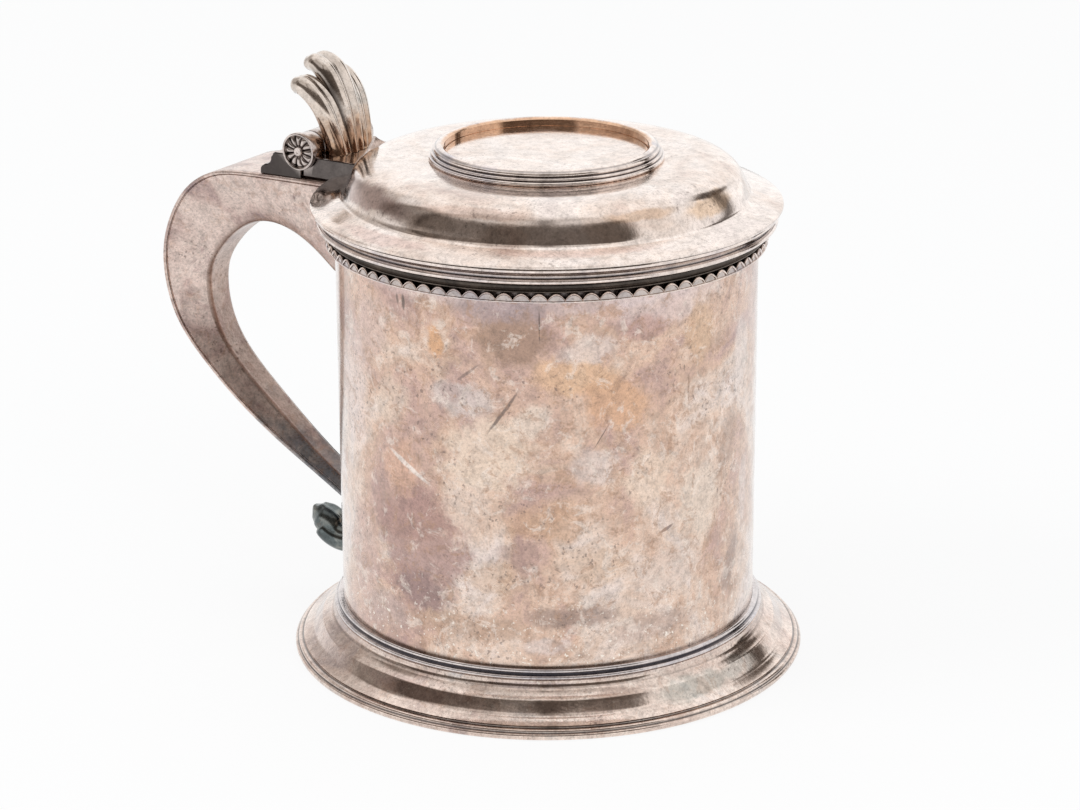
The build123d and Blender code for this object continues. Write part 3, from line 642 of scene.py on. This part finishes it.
def leaf(line, high, wide, y=0.0, groove=0.0):
    """Ovals along a line of (r, z), with half height and half width at its points, centred at y, with a
    groove along the top and kept clear of the drum."""
    steps, round_it, thinnest = 40, 40, 0.3
    curve = spline(line, steps)
    at = np.r_[0, np.cumsum(np.linalg.norm(np.diff(np.asarray(line, float), axis=0), axis=1))]
    share = np.linspace(0, 1, steps)
    half_high = spline(np.stack([at / at[-1], high], 1), steps)
    half_wide = spline(np.stack([at / at[-1], wide], 1), steps)
    ahead = np.gradient(curve, axis=0)
    ahead /= np.linalg.norm(ahead, axis=1)[:, None]
    turn = np.arange(round_it) * 2 * math.pi / round_it
    c, s = np.cos(turn), np.sin(turn)
    dip = 1 - groove * np.exp(-(c / 0.28) ** 2) * (s > 0)
    loops = []
    for k, (r, z), (dr, dz) in zip(share, curve, ahead):
        v = max(thinnest, np.interp(k, *half_high.T)) * s * dip
        u = max(thinnest, np.interp(k, *half_wide.T)) * c
        loops.append(np.stack([-(r - dz * v), y + u, z + dr * v], 1))
    loops = np.array(loops)
    loops[..., 0] -= np.maximum(SEAT_R + 0.01 - np.hypot(loops[..., 0], loops[..., 1]), 0)
    return tube(loops)


def make_terminal():
    """A bud that curls up to a point, with a small leaf folded round each side of it."""
    bud = leaf([(56.0, 19.2), (62.0, 17.4), (67.5, 16.8), (71.5, 17.7), (74.5, 19.4), (77.2, 21.0),
                (79.2, 22.3), (80.4, 23.2)], [3.4, 3.1, 3.1, 3.7, 4.8, 4.2, 2.3, 0.6],
               [3.2, 3.6, 4.0, 4.3, 4.5, 3.8, 2.2, 0.7], groove=0.15)
    sides = [leaf([(60.0, 16.6), (65.0, 15.5), (69.5, 15.4), (73.0, 16.4), (75.6, 18.2), (76.9, 19.9)],
                  [1.6, 2.4, 2.9, 2.8, 1.8, 0.5], [1.2, 1.8, 2.3, 2.3, 1.6, 0.5], y) for y in (-3.1, 3.1)]
    add("handle_leaf", *joined(bud, *sides), leaf_silver, "vessel", ["handle_terminal"], angle=60)


# Hinge
def barrels(first):
    """Every second knuckle of the hinge as a round bar on the pin, starting with the first one given."""
    pitch, half_gap, count = 2 * LEAF_HALF / KNUCKLES, 0.15, 48
    t = np.arange(count) * 2 * math.pi / count
    circle = np.stack([HINGE[0] + BARREL_R * np.cos(t), HINGE[1] + BARREL_R * np.sin(t)], 1)
    return [across(circle, -LEAF_HALF + i * pitch + half_gap, -LEAF_HALF + (i + 1) * pitch - half_gap, 0.25)
            for i in range(first, KNUCKLES, 2)]


def side_shade(verts, reach, most=1.0):
    """The leaves' sides, past reach, are darkened as painted shade, and their knuckles stay bright."""
    v = np.asarray(verts, float)
    clear = np.hypot(v[:, 0] - HINGE[0], v[:, 2] - HINGE[1]) > BARREL_R + 0.1
    return most * (clear & (np.abs(v[:, 1]) > reach))


def make_hinge():
    """The fixed leaf, a block with a stepped back, and the moving leaf, which runs from the pin to the dome
    and follows the lid's flange underneath. The barrels share the pin."""
    x = HINGE[0]
    block = path((x - 0.25, 125.9), (-86.1, 125.7), (-86.1, 126.7), ((-85.9, 127.6), (-85.2, 128.2)),
                 (-84.4, 128.7), ((-83.0, 129.2), (-82.4, 130.2)), ((-82.3, 130.9), (-81.8, 131.5)),
                 ((-81.4, 132.2), (-80.4, LEAF_TOP)), (x - 0.25, LEAF_TOP))
    verts, faces = joined(across(block, -LEAF_HALF, LEAF_HALF), *barrels(0))
    add("fixed_leaf", verts, faces, hinge_silver, "vessel", ["hinge_fixed_leaf"], "toned_silver",
        tarnish_and_shade=side_shade(verts, 13.0))
    dome_r, flange_r, count = 53.75, 63.9, 24
    flange = [53.9, 56.1, 57.6, 60.4, 63.2, flange_r], [129.6, 129.0, 128.6, 127.9, 127.3, 126.8]
    rows = []
    for y, soft in ((-12.7, 0.3), (-12.6, 0.1), (-12.35, 0.0), *((v, 0.0) for v in np.linspace(-12, 12, 13)),
                    (12.35, 0.0), (12.6, 0.1), (12.7, 0.3)):
        xs = np.linspace(x + 0.25 + soft, -math.sqrt(dome_r ** 2 - y * y), count)
        r = np.hypot(xs, y)
        low = np.where(r > flange_r, 126.6 + soft, np.interp(r, *flange))
        bottom = np.stack([xs, np.full(count, y), low], 1)
        top = np.stack([xs[::-1], np.full(count, y), np.full(count, LEAF_TOP - soft)], 1)
        rows.append(np.concatenate([bottom, top]))
    verts, faces = joined(tube(rows), *barrels(1))
    add("moving_leaf", verts, faces, hinge_silver, "lid", ["lid_hinge_leaf"], "toned_silver",
        tarnish_and_shade=side_shade(verts, 12.4, 0.9))


def make_rosette(name, side, cad):
    """A disc of height h(r, t): a domed boss with a dimple, and n petals |cos(n t / 2)| between it and a
    raised rim."""
    x, z = HINGE
    petals = 12
    count = petals * 10
    t = np.arange(count) * 2 * math.pi / count
    lobe = np.abs(np.cos(t * petals / 2))
    base = LEAF_HALF + 0.05
    rows = []
    for r, h in ((0.001, 0.0), (5.3, 0.0), (5.3, 1.0), (5.2, 1.25), (4.95, 1.35), (4.7, 1.25), (4.55, 1.0)):
        rows.append((np.full(count, r), np.full(count, h)))
    for r in (4.45, 4.2, 3.9, 3.5, 3.1, 2.7, 2.3, 1.95, 1.7, 1.5):
        swell = max(0.0, math.sin(math.pi * min(1.0, (r - 1.4) / 3.1))) ** 0.5
        rows.append((np.full(count, r), 0.45 + 0.85 * swell * lobe ** 0.7))
    for r, h in ((1.4, 0.85), (1.3, 1.2), (1.1, 1.42), (0.8, 1.5), (0.5, 1.5), (0.35, 1.4), (0.15, 1.36)):
        rows.append((np.full(count, r), np.full(count, h)))
    grid = np.array([np.stack([x + r * np.cos(t), side * (base + h), z + r * np.sin(t)], 1) for r, h in rows])
    verts = grid.reshape(-1, 3).tolist()
    faces = ring_faces(len(rows), count)
    faces += [tuple(range(count)), tuple(range((len(rows) - 1) * count, len(rows) * count))[::-1]]
    # Painted shade between the petals and in the grooves inside the rim and round the boss.
    tarnish_and_shade = [np.where((r > 1.35) & (r < 4.6), 1.05 - lobe ** 0.8 * (r > 1.45) * (r < 4.5), 0.0)
            for r, _ in rows]
    add(name, verts, faces, hinge_silver, "vessel", [cad], "toned_silver", angle=28, tarnish_and_shade=tarnish_and_shade)


def make_card():
    """A gabled plate bent round the dome: its height over y follows the gable's outline, and it leans out."""
    inner, thick, low, lean = 54.15, 0.9, 130.15, 0.22
    ys = np.linspace(-14.4, 14.4, 49)
    gable = np.interp(np.abs(ys), [0, 1.5, 4.4, 8.5, 12.6, 14.4], [137.4, 136.3, 134.7, 133.8, 132.9, 130.5])
    rows = []
    for y, top in zip(ys, gable):
        loop = []
        for radius, z in ((inner, low), (inner + thick, low), (inner + thick, top - 0.15),
                          (inner + thick - 0.15, top), (inner + 0.15, top), (inner, top - 0.15)):
            loop.append((-math.sqrt(radius ** 2 - y * y) - lean * (z - low), y, z))
        rows.append(loop)
    add("dome_card", *tube(rows), hinge_silver, "lid", ["lid_card"], "toned_silver")


# Thumbpiece
def rib(line, spread, flute, near):
    """One rib: ovals round a curled line, with half depth and half width from a table of (x, z, half depth,
    half width), moved sideways from spread[0] at the root to spread[1] at the tip, with a round end and a
    flute up its front. near lists the sides, 1 or -1, on which another rib lies: its groove gets painted
    shade."""
    count, steps = 44, 60
    table = np.asarray(line, float)
    curve = spline(table[:, :2], steps)
    at_table = np.r_[0, np.cumsum(np.linalg.norm(np.diff(table[:, :2], axis=0), axis=1))]
    share = np.linspace(0, 1, steps)
    deep = np.interp(share, at_table / at_table[-1], table[:, 2])
    wide = np.interp(share, at_table / at_table[-1], table[:, 3])
    side = spread[0] + (spread[1] - spread[0]) * share ** 0.9
    ahead = np.gradient(curve, axis=0)
    ahead /= np.linalg.norm(ahead, axis=1)[:, None]
    turn = np.arange(count) * 2 * math.pi / count
    c, s = np.cos(turn), np.sin(turn)
    hollow = 1 - flute * np.exp(-(c / 0.3) ** 2) * (s > 0)
    end = [(math.cos(a), math.sin(a)) for a in np.radians([22, 42, 60, 75, 86])]
    rows = [(k, 1.0, 0.0) for k in range(steps)] + [(steps - 1, small, out * deep[-1]) for small, out in end]
    loops, tarnish_and_shade = [], []
    for k, small, out in rows:
        (x, z), (dx, dz) = curve[k] + ahead[k] * out, ahead[k]
        v = deep[k] * small * s * hollow
        loops.append(np.stack([x + dz * v, side[k] + wide[k] * small * c, z - dx * v], 1))
        # Painted shade in the grooves towards the next ribs and down the flute.
        groove = sum(np.clip((sign * c - 0.72) / 0.2, 0, 1) for sign in near)
        in_flute = 0.5 * flute * np.exp(-(c / 0.22) ** 2) * (s > 0)
        tarnish_and_shade.append(groove * np.clip((0.95 - share[k]) / 0.3, 0, 1) + in_flute)
    loops = np.array(loops)
    loops[..., 2] = np.maximum(loops[..., 2], LEAF_TOP + 0.05)
    return tube(loops), np.concatenate(tarnish_and_shade)


def make_thumb():
    """The thumbpiece: a middle rib between two lower outer ones."""
    middle = [(-62.9, 131.0, 2.4, 3.5), (-64.0, 137.0, 2.6, 3.9), (-65.4, 143.5, 2.9, 4.6),
              (-67.8, 149.8, 3.3, 5.3), (-71.0, 154.6, 3.5, 5.7), (-74.4, 156.4, 3.1, 5.0),
              (-76.0, 156.1, 2.5, 4.0)]
    outer = [(-64.2, 131.0, 3.2, 3.2), (-65.2, 137.0, 3.2, 3.5), (-66.1, 140.5, 3.2, 3.8),
             (-67.2, 144.0, 3.2, 4.1), (-69.0, 147.4, 3.2, 4.3), (-71.6, 150.2, 3.2, 4.3),
             (-73.8, 151.4, 3.1, 4.0), (-74.8, 151.4, 2.8, 3.4)]
    ribs = [rib(middle, (0, 0), 0.35, (1, -1)), rib(outer, (4.8, 8.2), 0.2, (-1,)),
            rib(outer, (-4.8, -8.2), 0.2, (1,))]
    add("thumb_shell", *joined(*[shell for shell, _ in ribs]), thumb_silver, "lid", ["thumbpiece"],
        "toned_silver", angle=60, tarnish_and_shade=np.concatenate([tarnish_and_shade for _, tarnish_and_shade in ribs]))


make_drum()
make_foot()
make_mouth()
make_lid()
make_handle()
make_terminal()
make_hinge()
make_rosette("rosette_left", -1, "rosette_cap_left")
make_rosette("rosette_right", 1, "rosette_cap_right")
make_card()
make_thumb()
for cad, material in (("body_floor", drum_silver), ("hinge_pin", hinge_silver), ("lid_bezel", edge_silver)):
    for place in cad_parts[cad].material_slots:
        place.material = material


# Studio
CAMERA_AZIMUTH = -58.0
MIDDLE_Z = 0.07
# Dark parts of the room: from and to in degrees round from the camera, from and to in height, softness, depth
ROOM_DARK = [
    (-34, 54, 9, 48, 9, 0.88), (-84, -30, 16, 47, 10, 0.86), (-84, 54, 46, 72, 10, 0.36),
    (-8, 7, 44, 70, 6, 0.6), (-112, -78, 14, 52, 14, 0.7), (-152, -104, 6, 46, 18, 0.45),
    (-110, 60, 66, 84, 12, 0.25),
    (60, 112, 4, 70, 12, 0.14), (115, 127, -12, 24, 4, 0.92), (119, 141, 20, 41, 5, 0.92),
]


def stage_mesh(name, verts, faces, material):
    """A mesh of the studio, in metres, which isn't part of the model."""
    mesh = bpy.data.meshes.new(name)
    mesh.from_pydata(verts, [], faces)
    mesh.materials.append(material)
    obj = bpy.data.objects.new(name, mesh)
    bpy.context.scene.collection.objects.link(obj)
    return obj


def white_for_eyes(tree):
    """1 for rays from the camera, and in reflections and glass."""
    rays = node(tree, "ShaderNodeLightPath").outputs
    seen = maths(tree, "MAXIMUM", rays["Is Camera Ray"], rays["Is Glossy Ray"])
    return maths(tree, "MAXIMUM", seen, rays["Is Transmission Ray"])


def window(value, low, high, soft):
    """1 between low and high, falling to 0 over soft on each side."""
    rise = np.clip((value - low) / soft + 0.5, 0, 1)
    fall = np.clip((high - value) / soft + 0.5, 0, 1)
    return rise * rise * (3 - 2 * rise) * fall * fall * (3 - 2 * fall)


def make_room():
    """The room that the silver mirrors: a white cove behind, and dark surroundings on the side that the
    picture is taken from. It shows in reflections only. Its tone is worked out by direction."""
    azimuths = np.linspace(0, 2 * np.pi, 180, endpoint=False)
    heights = np.radians(np.linspace(-88, 88, 89))
    az, el = np.meshgrid(azimuths, heights)
    turn = (np.degrees(az) - CAMERA_AZIMUTH + 180) % 360 - 180
    up = np.degrees(el)
    tone = np.ones(az.shape)
    for left, right, low, high, soft, depth in ROOM_DARK:
        tone *= 1 - depth * window(turn, left, right, soft) * window(up, low, high, soft)
    warm = np.stack([tone, tone ** 1.08, tone ** 1.14, np.ones(az.shape)], 2)
    radius = 4.0
    x, y, z = radius * np.cos(el) * np.cos(az), radius * np.cos(el) * np.sin(az), radius * np.sin(el)
    verts = np.stack([x, y, z + MIDDLE_Z], 2).reshape(-1, 3).tolist()
    room = bpy.data.materials.new("room")
    room.use_nodes = True
    t = room.node_tree
    t.nodes.clear()
    seen = node(t, "ShaderNodeAttribute", attribute_name="tone", attribute_type="GEOMETRY").outputs["Color"]
    glow = node(t, "ShaderNodeEmission", {"Color": seen, "Strength": 1.14})
    node(t, "ShaderNodeOutputMaterial", {"Surface": glow.outputs[0]})
    obj = stage_mesh("room", verts, ring_faces(*az.shape), room)
    layer = obj.data.attributes.new("tone", "FLOAT_COLOR", "POINT")
    layer.data.foreach_set("color", warm.astype(np.float32).ravel())
    obj.data.polygons.foreach_set("use_smooth", [True] * len(obj.data.polygons))
    obj.visible_camera = obj.visible_diffuse = obj.visible_shadow = obj.visible_transmission = False


def make_studio():
    """A white floor that keeps the object's shadow, the mirrored room, a white background and two lamps."""
    floor = bpy.data.materials.new("floor_white")
    floor.use_nodes = True
    t = floor.node_tree
    t.nodes.clear()
    paint = node(t, "ShaderNodeBsdfDiffuse", {"Color": (0.93, 0.93, 0.93, 1)})
    glow = node(t, "ShaderNodeEmission", {"Color": (1, 1, 1, 1), "Strength": 1.0})
    part = maths(t, "MULTIPLY", white_for_eyes(t), 0.86)
    both = node(t, "ShaderNodeMixShader", {0: part, 1: paint.outputs[0], 2: glow.outputs[0]})
    node(t, "ShaderNodeOutputMaterial", {"Surface": both.outputs[0]})
    far = 6.0
    corners = [(-far, -far, 0), (far, -far, 0), (far, far, 0), (-far, far, 0)]
    stage_mesh("floor", corners, [(0, 1, 2, 3)], floor)

    make_room()
    world = bpy.data.worlds.new("studio")
    bpy.context.scene.world = world
    world.use_nodes = True
    t = world.node_tree
    t.nodes.clear()
    soft = node(t, "ShaderNodeBackground", {"Color": (0.96, 0.98, 1.0, 1), "Strength": 0.75})
    white = node(t, "ShaderNodeBackground", {"Color": (1, 1, 1, 1), "Strength": 1.0})
    both = node(t, "ShaderNodeMixShader", {0: white_for_eyes(t), 1: soft.outputs[0], 2: white.outputs[0]})
    node(t, "ShaderNodeOutputWorld", {"Surface": both.outputs[0]})

    target = np.array((0, 0, MIDDLE_Z))
    for name, place, power in (("key", (-0.9, -1.0, 1.3), 9.0), ("fill", (1.3, -0.5, 0.9), 5.0)):
        lamp = bpy.data.lights.new(name, "AREA")
        lamp.size = 0.8
        lamp.energy = power
        obj = bpy.data.objects.new(name, lamp)
        obj.visible_glossy = False
        bpy.context.scene.collection.objects.link(obj)
        back = np.array(place) - target
        back /= np.linalg.norm(back)
        right = np.cross((0, 0, 1), back)
        right /= np.linalg.norm(right)
        up = np.cross(back, right)
        obj.matrix_world = Matrix([[*v, w] for v, w in zip(np.stack([right, up, back], 1).tolist(), place)]
                                  + [[0, 0, 0, 1]])


def make_camera():
    """The photograph's camera: turned by the fitted heading, pitch, yaw and roll."""
    heading, pitch, yaw, roll = (math.radians(a) for a in (CAMERA_AZIMUTH + 90, 19.07, -0.138, -0.246))
    cy, sy, cp, sp = math.cos(yaw), math.sin(yaw), math.cos(pitch), math.sin(pitch)
    right = np.array([cy, -sy, 0.0])
    forward = np.array([sy * cp, cy * cp, -sp])
    up = np.cross(right, forward)
    rolled_right = right * math.cos(roll) + up * math.sin(roll)
    rolled_up = up * math.cos(roll) - right * math.sin(roll)
    c, s = math.cos(heading), math.sin(heading)
    turn = np.array([[c, -s, 0], [s, c, 0], [0, 0, 1]])
    place = turn @ np.array([0, -0.8429, 0.3600])
    axes = turn @ np.stack([rolled_right, rolled_up, -forward], 1)
    data = bpy.data.cameras.new("camera")
    data.lens = 107.92
    data.sensor_width = 36.0
    cam = bpy.data.objects.new("camera", data)
    bpy.context.scene.collection.objects.link(cam)
    cam.matrix_world = Matrix([[*row, p] for row, p in zip(axes.tolist(), place.tolist())] + [[0, 0, 0, 1]])
    bpy.context.scene.camera = cam


make_studio()
make_camera()
bpy.context.scene.view_settings.view_transform = "Standard"
